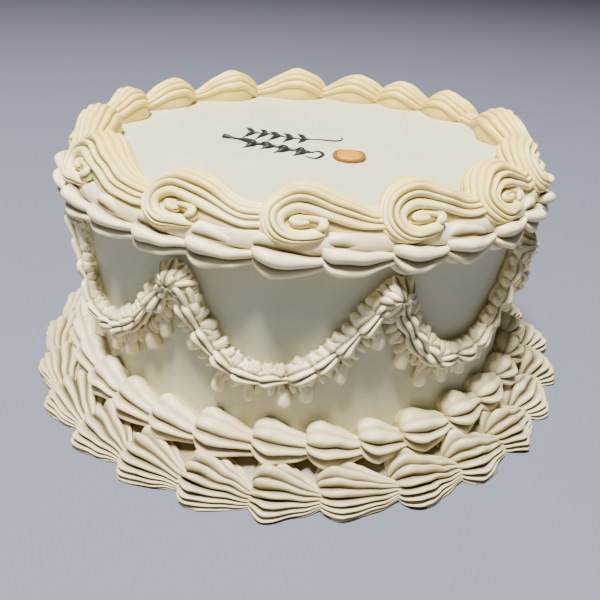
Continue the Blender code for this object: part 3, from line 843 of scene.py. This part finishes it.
# %% The orange pad
PAD_X, PAD_Y = 19.8 * MM, -26.0 * MM
PAD_WIDE, PAD_DEEP, PAD_HIGH = 6.9 * MM, 8.8 * MM, 3.1 * MM
SUNK, INSET = 0.2 * MM, 0.5 * MM
ring_turn = np.linspace(0, 2 * np.pi, 56, endpoint=False)
t = np.linspace(0, 1, 12)[:, None]
swell = np.sqrt(np.clip(1 - t ** 2, 0, 1)) * (1 + 0.02 * np.sin(5 * ring_turn + 1.0))
pad = np.stack([PAD_X + PAD_WIDE * swell * np.cos(ring_turn),
                PAD_Y + PAD_DEEP * swell * np.sin(ring_turn),
                TOP - SUNK + PAD_HIGH * t + 0 * swell], -1)
print("the pad is", round(np.ptp(pad[..., 0]) / MM, 1), "mm wide")


# %% A rope of icing along any line
def rope(points, thick, closed=False):
    """A round rope through points in space; `thick` is its radius at every point."""
    points = np.asarray(points, float)
    if closed:
        tangent = np.roll(points, -1, 0) - np.roll(points, 1, 0)
    else:
        tangent = np.gradient(points, axis=0)
    tangent /= np.linalg.norm(tangent, axis=1)[:, None]
    side = np.cross(tangent, [0.0, 0.0, 1.0])
    side /= np.linalg.norm(side, axis=1)[:, None]
    up = np.cross(side, tangent)
    rings, dark = pipe(points, side, up, thick, 0.8 * thick, round_tip(8),
                       np.zeros(len(points)))
    if closed:
        rings = np.concatenate([rings, rings[:1]])
        dark = np.concatenate([dark, dark[:1]])
    return rings, dark


oval = np.stack([PAD_X + (PAD_WIDE - INSET) * np.cos(ring_turn),
                 PAD_Y + (PAD_DEEP - INSET) * np.sin(ring_turn),
                 TOP + 0.9 * MM + 0.2 * MM * np.sin(3 * ring_turn)], -1)
outline_rope = rope(oval, (0.95 + 0.25 * np.sin(2 * ring_turn + 2.0)) * MM, closed=True)
ornament = as_object("orange_pad", [(pad, np.zeros(pad.shape[:2]))])
ornament.data.materials.append(orange_pad)
stands_for(ornament, "orange_ornament")
outline = as_object("orange_outline", [outline_rope])
outline.data.materials.append(orange_line)
stands_for(outline, "orange_ornament")

# %% [markdown]
# ## A flourish in black icing
# Two rows of black icing cross the middle of the top. Each is a small sprig: a thin stem
# that runs in a soft wave, with pairs of thick leaves pressed out on both sides of it, and
# a hook or a small loop at its end. A stroke is a smooth line through a few places, and
# its thickness swells and thins in beats.


# %% One stroke of the tip
STEPS_A_PLACE = 10


def stroke(places, thin, thick, beats, late=0.0):
    """A smooth line through places in millimetres, swelling `beats` times."""
    p = np.array(places, float)
    p = np.concatenate([2 * p[:1] - p[1:2], p, 2 * p[-1:] - p[-2:-1]])
    u = np.linspace(0, 1, STEPS_A_PLACE, endpoint=False)[:, None]
    parts = []
    for a, b, c, d in zip(p, p[1:], p[2:], p[3:]):
        parts.append(0.5 * (2 * b + (c - a) * u + (2 * a - 5 * b + 4 * c - d) * u ** 2
                            + (3 * b - a - 3 * c + d) * u ** 3))
    flat = np.concatenate(parts + [p[-2:-1]]) * MM
    share = np.linspace(0, 1, len(flat))
    swing = (0.5 - 0.5 * np.cos(2 * np.pi * (beats * share + late))) ** 1.3
    ends = np.clip(np.minimum(share, 1 - share) / 0.05, 0.25, 1) ** 0.5
    radius = (thin + (thick - thin) * swing) * ends * MM
    points = np.column_stack([flat, TOP + 0.35 * radius])
    return rope(points, radius)


def sprig(start, end, pairs, leaf, thick, seed):
    """A stem with pairs of leaves that point backward; sizes in millimetres."""
    draw = random.Random(seed)
    u = np.linspace(0, 1, 2 * pairs + 1)
    x = start[0] + (end[0] - start[0]) * u
    y = start[1] + (end[1] - start[1]) * u + 1.5 * np.sin(2 * np.pi * u)
    made = [stroke(list(zip(x, y)), 0.45, 0.6 * thick, pairs)]
    for k in range(pairs):
        a, b = x[2 * k + 1], y[2 * k + 1]
        for way in (-1, 1):
            long = leaf[0] * (1 + 0.2 * draw.uniform(-1, 1))
            deep = way * leaf[1] * (1 + 0.2 * draw.uniform(-1, 1))
            made.append(stroke([(a + 0.2 * long, b), (a - 0.3 * long, b + 0.35 * deep),
                                (a - 0.8 * long, b + deep)], 0.3, thick, 1))
    return made


# %% Both sprigs
strokes = sprig((-29, 9), (3, 1), 5, (6.0, 9.0), 1.20, 5)
strokes += sprig((-27, -11), (4, -21), 4, (8.5, 5.5), 1.75, 8)
strokes.append(stroke([(2, 1.2), (6, 1.5), (11, 0), (15, 0), (17.5, 3), (17.5, 8)],
                      0.4, 0.6, 1))
strokes.append(stroke([(-40.5, -1), (-37, -2), (-33, -3.5), (-28, -7), (-25, -10)],
                      0.75, 1.6, 1.5, 0.3))
strokes.append(stroke([(3, -20), (6, -19), (8, -24), (4.5, -30), (0, -27)], 0.4, 0.75, 1))
black_line = as_object("black_flourish", strokes)
black_line.data.materials.append(black_gel)
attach(black_line, "root")

# %% [markdown]
# ## Light, floor and camera
# The cake stands on a plain pale floor, under a soft light from above, a little to the
# front and left. A weak light from the front and a faint one from all round fill its
# shadows. Soft light is what shows piping best: the lobes catch it and the creases lose
# it. The camera looks down at the cake by about twenty-nine degrees.

# %% Floor
bpy.ops.mesh.primitive_plane_add(size=6.0, location=(0, 1.5, 0))
floor = bpy.context.object
floor.name = "floor"
pale_floor = bpy.data.materials.new("pale_floor")
pale_floor.use_nodes = True
matte = pale_floor.node_tree.nodes["Principled BSDF"]
matte.inputs["Base Color"].default_value = (0.130, 0.138, 0.182, 1)
matte.inputs["Roughness"].default_value = 0.8
floor.data.materials.append(pale_floor)
print("floor is", floor.dimensions.x, "m wide")


# %% Lights
AIM = Vector((0, 0, 0.06))


def soft_light(name, place, size, power, colour):
    """A round area light at a place, turned towards the middle of the cake."""
    light = bpy.data.lights.new(name, "AREA")
    light.shape = "DISK"
    light.size = size
    light.energy = power
    light.color = colour
    lamp = bpy.data.objects.new(name, light)
    lamp.location = place
    lamp.rotation_euler = (AIM - Vector(place)).to_track_quat("-Z", "Y").to_euler()
    bpy.context.scene.collection.objects.link(lamp)
    return lamp


soft_light("overhead", (-0.22, -0.56, 2.25), 0.50, 215.0, (1.0, 0.985, 0.94))
soft_light("from_the_front", (-0.6, -1.3, 0.75), 0.8, 2.0, (0.97, 0.985, 1.0))
world = bpy.data.worlds.new("soft_room")
world.use_nodes = True
room = world.node_tree.nodes["Background"]
room.inputs["Color"].default_value = (0.94, 0.95, 1.0, 1)
room.inputs["Strength"].default_value = 0.06
bpy.context.scene.world = world

# %% Camera
CAMERA_PLACE = (0.0003, -0.320, 0.200)
camera = bpy.data.objects.new("camera", bpy.data.cameras.new("camera"))
camera.data.sensor_width = 36.0
camera.data.lens = 39.9
camera.data.clip_start = 0.01
pitch, roll = math.radians(28.9), math.radians(-2.4)
forward = Vector((0, math.cos(pitch), -math.sin(pitch)))
right = Vector((1, 0, 0))
above = right.cross(forward)
image_right = math.cos(roll) * right - math.sin(roll) * above
image_up = math.sin(roll) * right + math.cos(roll) * above
camera.matrix_world = Matrix((
    (image_right.x, image_up.x, -forward.x, CAMERA_PLACE[0]),
    (image_right.y, image_up.y, -forward.y, CAMERA_PLACE[1]),
    (image_right.z, image_up.z, -forward.z, CAMERA_PLACE[2]),
    (0, 0, 0, 1)))
bpy.context.scene.collection.objects.link(camera)
bpy.context.scene.camera = camera
print("camera", [round(v, 3) for v in camera.location])
